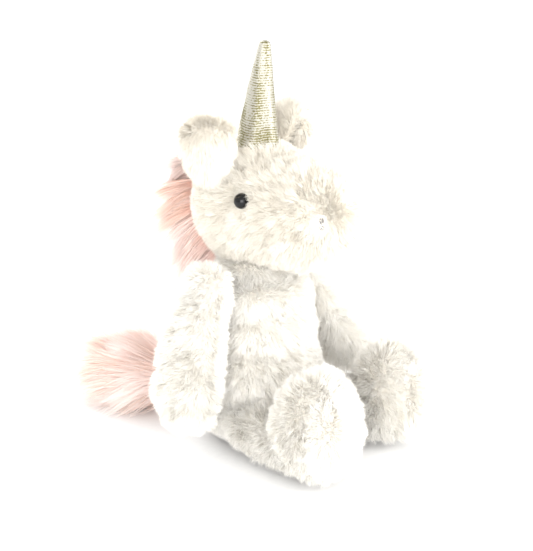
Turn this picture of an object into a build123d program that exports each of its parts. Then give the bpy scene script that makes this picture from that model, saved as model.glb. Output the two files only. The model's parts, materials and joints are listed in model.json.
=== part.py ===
from build123d import *
import os
from math import asin, cos, pi, radians, sin, sqrt

# Sitting plush unicorn. It faces -Y, its right side is -X, +Z is up, and the floor is Z = 0.
# The origin is on the seat, straight below the middle of the body. All sizes are millimetres.
# Outer surfaces are those of the fur as it lies, so each sewn panel has the thickness of
# the pile fabric, and the filling starts where the panel ends.

# ---- fabrics and clearances
PILE_FABRIC = 4.0
LAME_FABRIC = 1.0
POUCH_CLOTH = 1.0
SOCKET_GAP = 0.3
SLOT_GAP = 1.5
BIG = 1000.0

# ---- body
TORSO_H = 116.0
SEAT_BALL = (30.0, 45.0)
BELLY_BALL = (55.0, 48.5)
CHEST_BALL = (90.0, 38.0)

# ---- bag of plastic pellets low in the body
POUCH_HALF = (24.0, 16.0, 12.0)
POUCH_AT = (0.0, 16.0, 18.0)

# ---- neck
NECK_R = 24.0
NECK_Z = 124.0

# ---- head: a solid of revolution about an axis that dips towards the nose
HEAD_AT = (0.0, 0.0, 171.5)
HEAD_DIP = 7.5
HEAD_R = 43.5
MUZZLE_AT = 42.0
MUZZLE_R = HEAD_R - 3.0
GUSSET_HALF = 16.0

# ---- eyes and nostrils
EYE_R = 5.4
EYE_SUNK = 2.6
EYE_CENTRE = 2.5
EYE_AT = 20.0
EYE_RISE = 18.0
SHANK_R = 1.8
SHANK_L = 9.0
WASHER_R = 6.5
WASHER_T = 1.6
NOSTRIL_AT = 48.0
NOSTRIL_TURN = 40.0
NOSTRIL_RISE = 8.0
NOSTRIL_W = 4.6
NOSTRIL_H = 8.0
NOSTRIL_T = 1.4

# ---- horn
HORN_Y = -4.0
HORN_L = 70.0
HORN_BASE_R = 14.7
HORN_TIP_R = 3.2
HORN_LEAN = 3.0
HORN_SINK = 1.6

# ---- ears: a leaf of two layers, folded over sideways
EAR_Y = 9.0
EAR_UP_ANGLE = 47.0
EAR_YAW = 25.0
EAR_LEAN = 25.0
EAR_TRAVEL = (-6.0, 10.0, 25.0)
EAR_HALF_W = 19.0
EAR_LAYER = 3.5
EAR_FOLD_R = 9.0
EAR_STAND = 24.0
EAR_DROP = 32.0

# ---- mane
MANE_HALF = 13.0
MANE_STRIP_HALF = 6.0
MANE_STRIP_T = 1.6
MANE_START_Y = 15.0
MANE_TOP_Z = 207.0
MANE_LOW_Z = 104.0
MANE_DEEP = 38.0
MANE_BACK_GAP = 52.0
MANE_CROWN = 5.0
MANE_SHOULDER = 12.0
MANE_SWELL_DROP = 24.0
MANE_TIP_IN = 10.0
MANE_GAP_DROP = 30.0

# ---- arms: flat paddles, each on a hinge at the shoulder
SHOULDER = (50.0, 2.0, 118.0)
ARM_OUT = 17.5
ARM_L = 104.0
ARM_TOP_R = 14.0
PAW_R = 27.0
PAW_AT = 62.0
PAW_TIP_R = 21.0
ARM_THICK = 0.66
ARM_HINGE = (0.885, 0.372)
ARM_REST = {"right": 0.0, "left": 20.0}

# ---- legs: each on a hinge at the hip
HIP = (30.0, -26.0, 24.0)
SPLAY = 14.0
THIGH_R = 23.0
ANKLE_R = 23.5
FOOT_AT = 65.0
FOOT_R = 30.0
FOOT_HALF_H = 39.0
LEG_UP = 20.0
LEG_DOWN = 55.0

# ---- tail
TAIL_ROOT = (0.0, 56.0, 26.0)
TAIL_CORE_R = 6.0
TAIL_CORE_L = 30.0
TAIL_START = 50.5
TAIL_BALL_R = 25.0
TAIL_TIP_R = 11.0
TAIL_TIP_AT = 82.0
TAIL_TURN = 8.0

SIDES = {"right": -1.0, "left": 1.0}


def write(name, shape):
    """Save one piece as parts/NAME.step; a shape of several lumps keeps them all."""
    solids = shape.solids()
    if not solids:
        raise ValueError(name + " is empty")
    solid = solids[0] if len(solids) == 1 else Compound(children=solids)
    solid.label = name
    export_step(solid, f"parts/{name}.step")


def strung(beads):
    """A smooth solid about Z: balls of (height, radius) on the axis, joined by tangent cones."""
    turns = []
    for (z0, r0), (z1, r1) in zip(beads, beads[1:]):
        turns.append(asin((r0 - r1) / (z1 - z0)))
    turns = [-pi / 2] + turns + [pi / 2]
    line = None
    last = None
    for (z, r), low, high in zip(beads, turns, turns[1:]):
        start, middle, end = (
            (r * cos(t), 0, z + r * sin(t)) for t in (low, (low + high) / 2, high)
        )
        if last is None:
            first = start
            line = ThreePointArc(start, middle, end)
        else:
            line = line + Line(last, start) + ThreePointArc(start, middle, end)
        last = end
    return revolve(make_face(line + Line(last, first)), Axis.Z, 360)


def shrunk(beads, inset):
    """The same balls, each smaller by inset."""
    return [(z, r - inset) for z, r in beads]


def half_space(origin, normal):
    """A big block on the side of a plane that its normal points to."""
    return Plane(origin=origin, z_dir=normal) * Box(
        BIG, BIG, BIG, align=(Align.CENTER, Align.CENTER, Align.MIN)
    )


def halves(shape, origin, normal):
    """The parts of a shape on the normal's side of a plane, and on the other."""
    other = Vector(*normal) * -1
    return shape & half_space(origin, normal), shape & half_space(origin, other)


# ---------------------------------------------------------------- legs
def leg_plane(side):
    """The hip's own frame: +Y towards the foot, +Z up."""
    s = SIDES[side]
    turn = radians(SPLAY)
    ahead = (s * sin(turn), -cos(turn), 0)
    across = (ahead[1], -ahead[0], 0)
    return Plane(origin=(s * HIP[0], HIP[1], HIP[2]), x_dir=across, z_dir=(0, 0, 1))


def leg_solid(side, inset):
    """The whole leg, with its surface moved in by inset: a thigh, and a foot that stands up."""
    thigh = Rot(-90, 0, 0) * strung(shrunk([(0.0, THIGH_R), (FOOT_AT, ANKLE_R)], inset))
    half = FOOT_HALF_H - FOOT_R
    ball = strung(shrunk([(-half, FOOT_R), (half, FOOT_R)], inset))
    foot = Pos(0, FOOT_AT, FOOT_HALF_H - HIP[2]) * ball
    return leg_plane(side) * (thigh + foot)


def leg_slot(side, grow):
    """Room in the body for the thigh, from its highest to its lowest place."""
    r = THIGH_R + SLOT_GAP + grow
    up, down = radians(LEG_UP), radians(LEG_DOWN)
    reach = BELLY_BALL[1] + HIP[2]
    high = (-r * sin(up), r * cos(up))
    high_end = (high[0] + reach * cos(up), high[1] + reach * sin(up))
    low = (-r * sin(down), -r * cos(down))
    low_end = (low[0] + reach * cos(down), low[1] - reach * sin(down))
    wedge = make_face(Polyline((0, 0), high, high_end, (high_end[0], low_end[1]), low_end, low, (0, 0)))
    side_plane = Plane(origin=(0, 0, 0), x_dir=(0, 1, 0), z_dir=(1, 0, 0))
    room = extrude(side_plane * wedge, r, both=True) + Rot(0, 90, 0) * Cylinder(r, 2 * r)
    return leg_plane(side) * room


def make_legs():
    """Outer and inner panels that meet in a seam down the sole, and the filling."""
    pieces = {}
    for side, s in SIDES.items():
        place = leg_plane(side)
        outer = leg_solid(side, 0)
        inner = leg_solid(side, PILE_FABRIC)
        out = place.x_dir if place.x_dir.X * s > 0 else place.x_dir * -1
        away, near = halves(outer - inner, place.origin, out)
        pieces[f"leg_{side}_outer_panel"] = away
        pieces[f"leg_{side}_inner_panel"] = near
        pieces[f"leg_{side}_stuffing"] = inner
    return pieces


# ---------------------------------------------------------------- body
def neck_ball(grow):
    """The ball of filling in the neck, or the room for it."""
    return Pos(0, 0, NECK_Z) * Sphere(NECK_R + grow)


def torso_solid(inset):
    """The pear-shaped body with its base flat, its neck socket and its two thigh slots."""
    body = strung(shrunk([SEAT_BALL, BELLY_BALL, CHEST_BALL], inset))
    body = body & Pos(0, 0, inset) * Box(
        BIG, BIG, TORSO_H - 2 * inset, align=(Align.CENTER, Align.CENTER, Align.MIN)
    )
    body -= neck_ball(SOCKET_GAP + inset)
    for s in SIDES:
        body -= leg_slot(s, inset)
    return body


def ellipsoid(half, at):
    """An ellipsoid by its half sizes and centre."""
    return Pos(*at) * scale(Sphere(1), half)


def make_torso():
    """Front panel, two back panels with a seam down the back, the filling and the pellet bag."""
    outer = torso_solid(0)
    inner = torso_solid(PILE_FABRIC)
    bag = ellipsoid(POUCH_HALF, POUCH_AT)
    pellets = ellipsoid(tuple(h - POUCH_CLOTH for h in POUCH_HALF), POUCH_AT)
    back, front = halves(outer - inner, (0, 0, 0), (0, 1, 0))
    back_left, back_right = halves(back, (0, 0, 0), (1, 0, 0))
    return {
        "torso_front_panel": front,
        "torso_back_left_panel": back_left,
        "torso_back_right_panel": back_right,
        "torso_stuffing": inner - bag,
        "pellet_pouch": bag - pellets,
        "pellet_fill": pellets,
        "neck_stuffing": neck_ball(0),
    }


# ---------------------------------------------------------------- head
def head_plane():
    """The head's own frame: +Z along its axis to the nose, +X to the unicorn's left."""
    dip = radians(HEAD_DIP)
    return Plane(origin=HEAD_AT, x_dir=(1, 0, 0), z_dir=(0, -cos(dip), -sin(dip)))


def head_blank(inset):
    """The head before anything is let into it."""
    return head_plane() * strung(shrunk([(0.0, HEAD_R), (MUZZLE_AT, MUZZLE_R)], inset))


def on_head(blank, start, direction):
    """Where a line from inside the head leaves it, and the outward normal there."""
    hits = blank.find_intersection_points(Axis(start, direction))
    ahead = [h for h in hits if (h[0] - Vector(start)).dot(Vector(direction)) > 0]
    point, normal = max(ahead, key=lambda h: (h[0] - Vector(start)).length)
    if normal.dot(Vector(direction)) < 0:
        normal = normal * -1
    return point, normal


def axis_point(along):
    """A point on the head's axis."""
    return tuple(head_plane().from_local_coords((0, 0, along)))


def eye_plane(blank, s):
    rise = radians(EYE_RISE)
    point, normal = on_head(blank, axis_point(EYE_AT), (s * cos(rise), 0, sin(rise)))
    return Plane(origin=point, z_dir=normal)


def eye_solid(place):
    """A half-round bead on a shank that goes through the fabric."""
    bead = Pos(0, 0, -EYE_CENTRE) * Sphere(EYE_R)
    bead = bead & Pos(0, 0, -EYE_SUNK) * Box(
        BIG, BIG, BIG, align=(Align.CENTER, Align.CENTER, Align.MIN)
    )
    shank = Pos(0, 0, -EYE_SUNK) * Cylinder(
        SHANK_R, SHANK_L, align=(Align.CENTER, Align.CENTER, Align.MAX)
    )
    return place * (bead + shank)


def washer_solid(place):
    """The disc that locks the eye's shank behind the fabric."""
    disc = Cylinder(WASHER_R, WASHER_T) - Cylinder(SHANK_R, WASHER_T)
    return place * Pos(0, 0, -PILE_FABRIC - WASHER_R**2 / (2 * HEAD_R) - WASHER_T / 2) * disc


def nostril_solid(blank, s):
    """A small upright bar of satin stitch let into the fabric."""
    turn, rise = radians(NOSTRIL_TURN), radians(NOSTRIL_RISE)
    way = (s * sin(turn) * cos(rise), -cos(turn) * cos(rise), sin(rise))
    point, normal = on_head(blank, axis_point(NOSTRIL_AT), way)
    place = Plane(origin=point, x_dir=Vector(0, 0, 1).cross(normal), z_dir=normal)
    bar = SlotOverall(NOSTRIL_H, NOSTRIL_W, rotation=90)
    return place * Pos(0, 0, -NOSTRIL_T) * extrude(bar, NOSTRIL_T)


def horn_plane():
    """The horn's own frame at the middle of its base, with +Z to its tip."""
    lean = radians(HORN_LEAN)
    dip = radians(HEAD_DIP)
    top = HEAD_AT[2] + HORN_Y * sin(dip) + HEAD_R - HORN_SINK
    return Plane(origin=(0, HORN_Y, top), x_dir=(1, 0, 0), z_dir=(0, -sin(lean), cos(lean)))


def horn_solid(inset):
    """A slim cone with a blunt tip and a round root that sits in the top of the head."""
    base, tip = HORN_BASE_R - inset, HORN_TIP_R - inset
    length = HORN_L - HORN_TIP_R
    cone = Cone(base, tip, length, align=(Align.CENTER, Align.CENTER, Align.MIN))
    return horn_plane() * (Sphere(base) + cone + Pos(0, 0, length) * Sphere(tip))


def mane_solids(blank):
    """A strip sewn down the back of the head, and the long pile that stands out from it."""
    behind = half_space((0, MANE_START_Y, 0), (0, 1, 0))
    behind = behind & half_space((0, 0, HEAD_AT[2] - HEAD_R / 2), (0, 0, 1))
    width = Box(2 * MANE_STRIP_HALF, BIG, 2 * BIG)
    strip = (head_blank(-MANE_STRIP_T) - blank) & width & behind
    back = HEAD_R + MANE_DEEP
    side = make_face(
        Polyline(
            (MANE_START_Y, HEAD_AT[2]),
            (MANE_START_Y, MANE_TOP_Z),
            (HEAD_R / 2, MANE_TOP_Z + MANE_CROWN),
        )
        + Spline(
            (HEAD_R / 2, MANE_TOP_Z + MANE_CROWN),
            (back - MANE_SHOULDER, HEAD_AT[2] + MANE_SHOULDER),
            (back, HEAD_AT[2] - MANE_SWELL_DROP),
            (back - MANE_TIP_IN, MANE_LOW_Z),
        )
        + Polyline(
            (back - MANE_TIP_IN, MANE_LOW_Z),
            (MANE_BACK_GAP, MANE_LOW_Z),
            (MANE_BACK_GAP, HEAD_AT[2] - MANE_GAP_DROP),
            (MANE_START_Y, HEAD_AT[2]),
        )
    )
    plane = Plane(origin=(0, 0, 0), x_dir=(0, 1, 0), z_dir=(1, 0, 0))
    pile = extrude(plane * side, MANE_HALF, both=True) - blank - strip
    return strip, max(pile.solids(), key=lambda p: p.volume)


def make_head():
    """Two side panels, the strip over the top, the chin, the filling and all that they carry."""
    blank = head_blank(0)
    room = neck_ball(SOCKET_GAP)
    horn_place = horn_plane()
    horn_room = horn_place * Sphere(HORN_BASE_R + SOCKET_GAP)
    outer = blank - room - horn_room
    inner = head_blank(PILE_FABRIC) - neck_ball(SOCKET_GAP + PILE_FABRIC) - horn_room
    skin = outer - inner
    pieces = {}
    for side, s in SIDES.items():
        place = eye_plane(blank, s)
        eye, washer = eye_solid(place), washer_solid(place)
        nostril = nostril_solid(blank, s)
        skin = skin - eye - nostril
        inner = inner - eye - washer
        pieces[f"eye_{side}"] = eye
        pieces[f"eye_washer_{side}"] = washer - eye
        pieces[f"nostril_{side}"] = nostril & outer
    left, rest = halves(skin, (GUSSET_HALF, 0, 0), (1, 0, 0))
    middle, right = halves(rest, (-GUSSET_HALF, 0, 0), (1, 0, 0))
    over, under = halves(middle, HEAD_AT, (0, 0, 1))
    strip, pile = mane_solids(blank)
    pieces.update(
        head_left_panel=left,
        head_right_panel=right,
        head_gusset=over,
        chin_panel=under,
        head_stuffing=inner,
        mane_backing=strip,
        mane_pile=pile,
    )
    return pieces


def make_horn():
    """The cover of metallic cloth and its filling."""
    inner = horn_solid(LAME_FABRIC)
    return {"horn_cover": horn_solid(0) - inner, "horn_stuffing": inner}


# ---------------------------------------------------------------- ears
def ear_band(outside):
    """One layer of an ear, seen along the fold: outside is the fold's outer radius."""
    inside = outside - EAR_LAYER
    up = EAR_STAND
    low = up - EAR_DROP
    ring = Pos(EAR_FOLD_R, up) * (Circle(outside) - Circle(inside))
    ring = ring & Pos(EAR_FOLD_R, up) * Rectangle(BIG, BIG, align=(Align.CENTER, Align.MIN))
    stand = Pos(EAR_FOLD_R - outside, 0) * Rectangle(EAR_LAYER, up, align=(Align.MIN, Align.MIN))
    hang = Pos(EAR_FOLD_R + inside, low) * Rectangle(EAR_LAYER, up - low, align=(Align.MIN, Align.MIN))
    return ring + stand + hang


def ear_hinge(side):
    """The middle of the ear's root, just clear of the head."""
    reach = sqrt((HEAD_R + SOCKET_GAP + EAR_LAYER) ** 2 - EAR_Y**2)
    up = radians(EAR_UP_ANGLE)
    return (SIDES[side] * reach * cos(up), EAR_Y, HEAD_AT[2] + reach * sin(up))


def make_ears():
    """Outer layer and lining of each ear."""
    pieces = {}
    for side, s in SIDES.items():
        lean = radians(EAR_LEAN)
        out = (s * cos(radians(EAR_YAW)), -sin(radians(EAR_YAW)))
        along = (out[1], -out[0], 0)
        place = Plane(
            origin=ear_hinge(side),
            x_dir=(out[0] * cos(lean), out[1] * cos(lean), -sin(lean)),
            z_dir=along,
        )
        hinge = Axis(ear_hinge(side), along)
        head = head_blank(-2 * SOCKET_GAP)
        top = EAR_STAND + EAR_FOLD_R + EAR_LAYER
        low = EAR_STAND - EAR_DROP
        middle = Plane(origin=(0, (top + low) / 2, 0), x_dir=(0, 1, 0), z_dir=(1, 0, 0))
        leaf = extrude(middle * Ellipse((top - low) / 2 + 1, EAR_HALF_W), BIG, both=True)
        for name, outside in (("outer", EAR_FOLD_R + EAR_LAYER), ("lining", EAR_FOLD_R)):
            layer = extrude(ear_band(outside), EAR_HALF_W, both=True)
            piece = place * (layer & leaf)
            for angle in EAR_TRAVEL:
                piece = piece - head.rotate(hinge, -angle)
            pieces[f"ear_{side}_{name}"] = piece
    return pieces


# ---------------------------------------------------------------- arms
def arm_axis(side):
    """The hinge's axis: a turn about it swings the arm forward and a little outward."""
    out = radians(ARM_OUT)
    a, b = ARM_HINGE
    c = a * sin(out) / cos(out)
    n = sqrt(a * a + b * b + c * c)
    s = SIDES[side]
    return (-a / n, -s * b / n, -s * c / n)


def arm_blank(inset):
    """A hanging arm at the origin, pointing down, wide along Y and thin along X."""
    beads = [(0.0, ARM_TOP_R), (PAW_AT, PAW_R), (ARM_L - PAW_TIP_R, PAW_TIP_R)]
    thin = (ARM_THICK * PAW_R - inset) / (PAW_R - inset)
    return Rot(180, 0, 0) * scale(strung(shrunk(beads, inset)), (thin, 1, 1))


def make_arms():
    """Outer and inner panels that meet round the arm's edge, and the filling."""
    pieces = {}
    blanks = {0: arm_blank(0), PILE_FABRIC: arm_blank(PILE_FABRIC)}
    for side, s in SIDES.items():
        skin = blanks[0] - blanks[PILE_FABRIC]
        away, near = halves(skin, (0, 0, 0), (s, 0, 0))
        hang = Pos(s * SHOULDER[0], SHOULDER[1], SHOULDER[2]) * Rot(0, -s * ARM_OUT, 0)
        hinge = Axis((s * SHOULDER[0], SHOULDER[1], SHOULDER[2]), arm_axis(side))
        for name, piece in (
            ("outer_panel", away),
            ("inner_panel", near),
            ("stuffing", blanks[PILE_FABRIC]),
        ):
            pieces[f"arm_{side}_{name}"] = (hang * piece).rotate(hinge, ARM_REST[side])
    return pieces


# ---------------------------------------------------------------- tail
def make_tail():
    """A sewn stub and the long pile round it, which lies along the floor."""
    fall = asin((TAIL_BALL_R - TAIL_TIP_R) / TAIL_TIP_AT)
    turn = radians(TAIL_TURN)
    back = (-sin(turn) * cos(fall), cos(turn) * cos(fall), -sin(fall))
    thick = Plane(origin=(0, TAIL_START + TAIL_BALL_R, TAIL_BALL_R), z_dir=back)
    bush = thick * strung([(0.0, TAIL_BALL_R), (TAIL_TIP_AT, TAIL_TIP_R)])
    stub = [(0.0, TAIL_CORE_R), (TAIL_CORE_L, TAIL_CORE_R)]
    core = Plane(origin=TAIL_ROOT, z_dir=(0, 1, 0)) * strung(stub)
    return {"tail_core": core, "tail_pile": bush - core}


os.makedirs("parts", exist_ok=True)
for make in (make_torso, make_head, make_horn, make_ears, make_arms, make_legs, make_tail):
    for node, shape in make().items():
        write(node, shape)
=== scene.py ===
"""A sitting plush unicorn: long soft pile on sewn, stuffed skins, with a metallic cloth horn,
bead eyes, stitched nostrils and a long-haired mane and tail. Lengths are in millimetres until
a mesh is written; MM turns them to metres."""
import json
import math

import bpy
import numpy as np
from mathutils import Matrix, Vector, kdtree


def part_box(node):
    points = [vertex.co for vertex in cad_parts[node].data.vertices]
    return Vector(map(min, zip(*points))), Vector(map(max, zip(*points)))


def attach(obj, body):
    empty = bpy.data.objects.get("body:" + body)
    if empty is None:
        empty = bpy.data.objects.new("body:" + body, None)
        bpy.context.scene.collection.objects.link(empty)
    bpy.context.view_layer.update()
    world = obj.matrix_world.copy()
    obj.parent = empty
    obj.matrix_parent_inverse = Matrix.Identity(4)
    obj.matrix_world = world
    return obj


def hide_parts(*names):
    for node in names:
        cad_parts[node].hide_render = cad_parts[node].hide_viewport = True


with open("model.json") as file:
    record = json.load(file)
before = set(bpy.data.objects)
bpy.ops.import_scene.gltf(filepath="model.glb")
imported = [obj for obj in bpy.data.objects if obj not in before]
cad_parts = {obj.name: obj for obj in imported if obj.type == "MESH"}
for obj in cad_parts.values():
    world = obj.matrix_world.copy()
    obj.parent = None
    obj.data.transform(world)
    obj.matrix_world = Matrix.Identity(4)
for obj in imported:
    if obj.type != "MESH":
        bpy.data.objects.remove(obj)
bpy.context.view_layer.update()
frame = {"nodes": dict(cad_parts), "record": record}
MM = 0.001
SIDES = {"right": -1.0, "left": 1.0}
JOINTS = {j["name"]: j for j in frame["record"]["behaviour"]["joints"]}

# The body fur, and how far above the floor the sewn skins and the lowest hairs stay.
FUR_LENGTH = 8.5
FLOOR_SKIN = 2.0
FLOOR_HAIR = 0.25

# Hairs for each square millimetre of skin, and how wide a hair is.
DENSITY = 3.7
HAIR = 0.49

# The horn's height, and the ribs of its cloth.
HORN_L = 70.0
RIB_PITCH = 1.5
HORN_RIBS = round(HORN_L / RIB_PITCH)


def place_of(joint):
    """A joint's pivot in millimetres."""
    return Vector(JOINTS[joint]["pos_m"]) / MM


def middle_of(node):
    """The middle of a CAD node's box in millimetres."""
    low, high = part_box(node)
    return (Vector(low) + Vector(high)) / 2 / MM


# ------------------------------------------------------------------ materials
def linear(hex_colour, alpha=1.0):
    """An sRGB hex value as the linear colour that a shader takes."""
    parts = [int(hex_colour[i:i + 2], 16) / 255 for i in (1, 3, 5)]
    return [c / 12.92 if c <= 0.04045 else ((c + 0.055) / 1.055) ** 2.4 for c in parts] + [alpha]


def add(tree, kind, values=None, links=None, **settings):
    """One node, with its settings, the values of its sockets and what feeds them."""
    made = tree.nodes.new(kind)
    for name, value in settings.items():
        setattr(made, name, value)
    for name, value in (values or {}).items():
        made.inputs[name].default_value = value
    for name, source in (links or {}).items():
        tree.links.new(source, made.inputs[name])
    return made


def material(name, **shader):
    """An empty material whose shader has the given constants on its own sockets."""
    made = bpy.data.materials.new(name)
    made.use_nodes = True
    made.node_tree.nodes.clear()
    surface = add(made.node_tree, "ShaderNodeBsdfPrincipled", shader)
    add(made.node_tree, "ShaderNodeOutputMaterial", links={"Surface": surface.outputs["BSDF"]})
    return made, made.node_tree, surface


def ramp(tree, source, *stops):
    """A colour ramp of (position, hex) stops."""
    made = add(tree, "ShaderNodeValToRGB", links={"Fac": source})
    points = made.color_ramp.elements
    while len(points) < len(stops):
        points.new(0.5)
    for point, (at, colour) in zip(points, stops):
        point.position = at
        point.color = linear(colour)
    return made.outputs["Color"]


def pile_material(name, along, tints, strength, **shader):
    """Hair whose colour runs from root to tip, times a tint for each hair. The pattern is on
    the hair's own map: across it is the tint, and up it is the way from root to tip."""
    made, tree, surface = material(name, **shader)
    uv = add(tree, "ShaderNodeUVMap", uv_map="OFBake").outputs["UV"]
    part = add(tree, "ShaderNodeSeparateXYZ", links={"Vector": uv})
    length = ramp(tree, part.outputs["Y"], *along)
    tint = ramp(tree, part.outputs["X"], *tints)
    both = add(tree, "ShaderNodeMix", {0: strength}, data_type="RGBA", blend_type="MULTIPLY")
    tree.links.new(length, both.inputs[6])
    tree.links.new(tint, both.inputs[7])
    tree.links.new(both.outputs[2], surface.inputs["Base Color"])
    return made


def white_pile():
    """Polyester plush, brushed and sheared: matt, with a little sheen; cream in the depths."""
    return pile_material(
        "brushed_polyester_plush_cream",
        ((0.0, "#FEFBF5"), (0.4, "#FEFCF7"), (1.0, "#FFFDF9")),
        ((0.0, "#EEEAE3"), (0.35, "#F8F6F1"), (0.7, "#FFFEFC"), (1.0, "#FFFFFF")),
        1.0,
        Roughness=0.85,
        **{"Specular IOR Level": 0.2, "Sheen Weight": 0.25, "Sheen Roughness": 0.5},
    )


def pink_pile():
    """Long-haired acrylic pile: soft gloss along the hairs, paler where they fade out."""
    return pile_material(
        "combed_acrylic_pile_pink",
        ((0.0, "#FCD9CC"), (0.4, "#FEEEE8"), (1.0, "#FFFAF8")),
        ((0.0, "#FBE2CD"), (0.35, "#FFEFE8"), (0.7, "#FFFCFA"), (1.0, "#FFF3F3")),
        0.9,
        Roughness=0.55,
        **{"Specular IOR Level": 0.35, "Sheen Weight": 0.3, "Sheen Roughness": 0.4},
    )


def knit_backing(name, dark, light):
    """Warp-knitted backing cloth: fine loops about 0.6 mm apart under the pile."""
    made, tree, surface = material(name, Roughness=0.95, **{"Specular IOR Level": 0.1})
    here = add(tree, "ShaderNodeTexCoord").outputs["Object"]
    loops = add(
        tree, "ShaderNodeTexVoronoi", {"Scale": 1 / (0.6 * MM)}, {"Vector": here}
    ).outputs["Distance"]
    patches = add(tree, "ShaderNodeTexNoise", {"Scale": 1 / (9 * MM)}, {"Vector": here})
    mixed = add(tree, "ShaderNodeMath", {1: 0.35}, {0: loops}, operation="MULTIPLY_ADD")
    tree.links.new(patches.outputs["Fac"], mixed.inputs[2])
    tree.links.new(ramp(tree, mixed.outputs[0], (0.25, dark), (0.8, light)), surface.inputs["Base Color"])
    bump = add(tree, "ShaderNodeBump", {"Strength": 0.4, "Distance": 0.2 * MM}, {"Height": loops})
    tree.links.new(bump.outputs["Normal"], surface.inputs["Normal"])
    return made


def gold_lame():
    """Lame: metal-coated yarn woven in ribs 1.5 mm apart, olive gold, with painted shade in the grooves
    between the ribs and painted silver highlights in streaks and glints. The ribs follow the horn's own
    map, whose height is in ribs."""
    made, tree, surface = material(
        "woven_gold_lame", Roughness=0.48, Metallic=0.6, **{"Specular IOR Level": 0.4}
    )
    here = add(tree, "ShaderNodeTexCoord").outputs["Object"]
    own = add(tree, "ShaderNodeUVMap", uv_map="OFBake").outputs["UV"]
    height = add(tree, "ShaderNodeSeparateXYZ", links={"Vector": own}).outputs["Y"]
    phase = add(
        tree, "ShaderNodeMath", {1: 2 * math.pi * HORN_RIBS}, {0: height}, operation="MULTIPLY"
    ).outputs[0]
    # painted shade: the ribs' cosine darkens the colour in the grooves between the ribs and lightens it on
    # their crests
    rib_groove_shade = add(tree, "ShaderNodeMath", links={0: phase}, operation="COSINE").outputs[0]
    # fine noise: the yarn's own unevenness and painted glints; it also drives the bump
    yarn_and_glints = add(
        tree, "ShaderNodeTexNoise", {"Scale": 1 / (1.1 * MM), "Detail": 2.0}, {"Vector": here}
    ).outputs["Fac"]
    # noise stretched up the horn: painted highlights in silver streaks
    long = add(
        tree, "ShaderNodeMapping", {"Scale": (1.0, 1.0, 0.22)}, {"Vector": here}
    ).outputs["Vector"]
    sheen = add(
        tree, "ShaderNodeTexNoise", {"Scale": 1 / (9 * MM), "Detail": 1.0}, {"Vector": long}
    ).outputs["Fac"]
    total = add(tree, "ShaderNodeMath", links={0: yarn_and_glints, 1: sheen}, operation="ADD").outputs[0]
    total = add(
        tree, "ShaderNodeMath", {1: 0.13}, {0: rib_groove_shade, 2: total}, operation="MULTIPLY_ADD"
    ).outputs[0]
    # from dark olive to silver grey: the gold's own colour, darker in the painted groove shade and lighter in
    # the painted highlights
    colour = ramp(
        tree, total, (0.62, "#5F5A38"), (0.86, "#7F7952"), (1.08, "#969176"), (1.32, "#B8B5AA")
    )
    tree.links.new(colour, surface.inputs["Base Color"])
    bump = add(tree, "ShaderNodeBump", {"Strength": 0.5, "Distance": 0.2 * MM}, {"Height": yarn_and_glints})
    tree.links.new(bump.outputs["Normal"], surface.inputs["Normal"])
    return made


def black_bead():
    """Moulded ABS toy eye, polished: near black, with the faintest orange peel."""
    made, tree, surface = material(
        "moulded_abs_black_gloss", Roughness=0.1, IOR=1.5,
        **{"Specular IOR Level": 0.22, "Coat Weight": 0.25, "Coat Roughness": 0.03},
    )
    here = add(tree, "ShaderNodeTexCoord").outputs["Object"]
    cloud = add(tree, "ShaderNodeTexNoise", {"Scale": 1 / (3 * MM)}, {"Vector": here}).outputs["Fac"]
    tree.links.new(
        ramp(tree, cloud, (0.3, "#050505"), (0.8, "#121011")), surface.inputs["Base Color"]
    )
    bump = add(tree, "ShaderNodeBump", {"Strength": 0.04, "Distance": 0.1 * MM}, {"Height": cloud})
    tree.links.new(bump.outputs["Normal"], surface.inputs["Normal"])
    return made


def grey_thread():
    """Rayon embroidery thread, 0.4 mm, laid in satin stitch: soft gloss across the stitches."""
    made, tree, surface = material(
        "satin_stitched_rayon_grey", Roughness=0.5, **{"Sheen Weight": 0.3}
    )
    here = add(tree, "ShaderNodeTexCoord").outputs["Object"]
    ply = add(tree, "ShaderNodeTexNoise", {"Scale": 1 / (0.7 * MM), "Detail": 2.0}, {"Vector": here})
    tree.links.new(
        ramp(tree, ply.outputs["Fac"], (0.3, "#4E4D50"), (0.7, "#757377")),
        surface.inputs["Base Color"],
    )
    bump = add(
        tree, "ShaderNodeBump", {"Strength": 0.4, "Distance": 0.1 * MM}, {"Height": ply.outputs["Fac"]}
    )
    tree.links.new(bump.outputs["Normal"], surface.inputs["Normal"])
    return made


def moulded_nylon():
    """Injection-moulded natural nylon, as a lock washer is: milky, with a fine spark texture."""
    made, tree, surface = material("injection_moulded_nylon_natural", Roughness=0.42)
    here = add(tree, "ShaderNodeTexCoord").outputs["Object"]
    grain = add(tree, "ShaderNodeTexNoise", {"Scale": 1 / (0.8 * MM)}, {"Vector": here})
    tree.links.new(
        ramp(tree, grain.outputs["Fac"], (0.3, "#E4E0D4"), (0.7, "#EFEBE0")),
        surface.inputs["Base Color"],
    )
    return made


def pale_paper():
    """Seamless studio background paper: matt, with a barely seen tooth."""
    made, tree, surface = material(
        "seamless_paper_white", Roughness=0.95, **{"Specular IOR Level": 0.05}
    )
    here = add(tree, "ShaderNodeTexCoord").outputs["Object"]
    tooth = add(tree, "ShaderNodeTexNoise", {"Scale": 1 / (4 * MM)}, {"Vector": here})
    tree.links.new(
        ramp(tree, tooth.outputs["Fac"], (0.3, "#FBFBFB"), (0.7, "#FEFEFE")),
        surface.inputs["Base Color"],
    )
    return made


WHITE = white_pile()
PINK = pink_pile()
CREAM_KNIT = knit_backing("warp_knit_backing_cream", "#F6F0E4", "#FCF8F1")
PINK_KNIT = knit_backing("warp_knit_backing_pink", "#EBA28D", "#F5C1B0")
LAME = gold_lame()
BEAD = black_bead()
THREAD = grey_thread()
NYLON = moulded_nylon()
PAPER = pale_paper()


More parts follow.
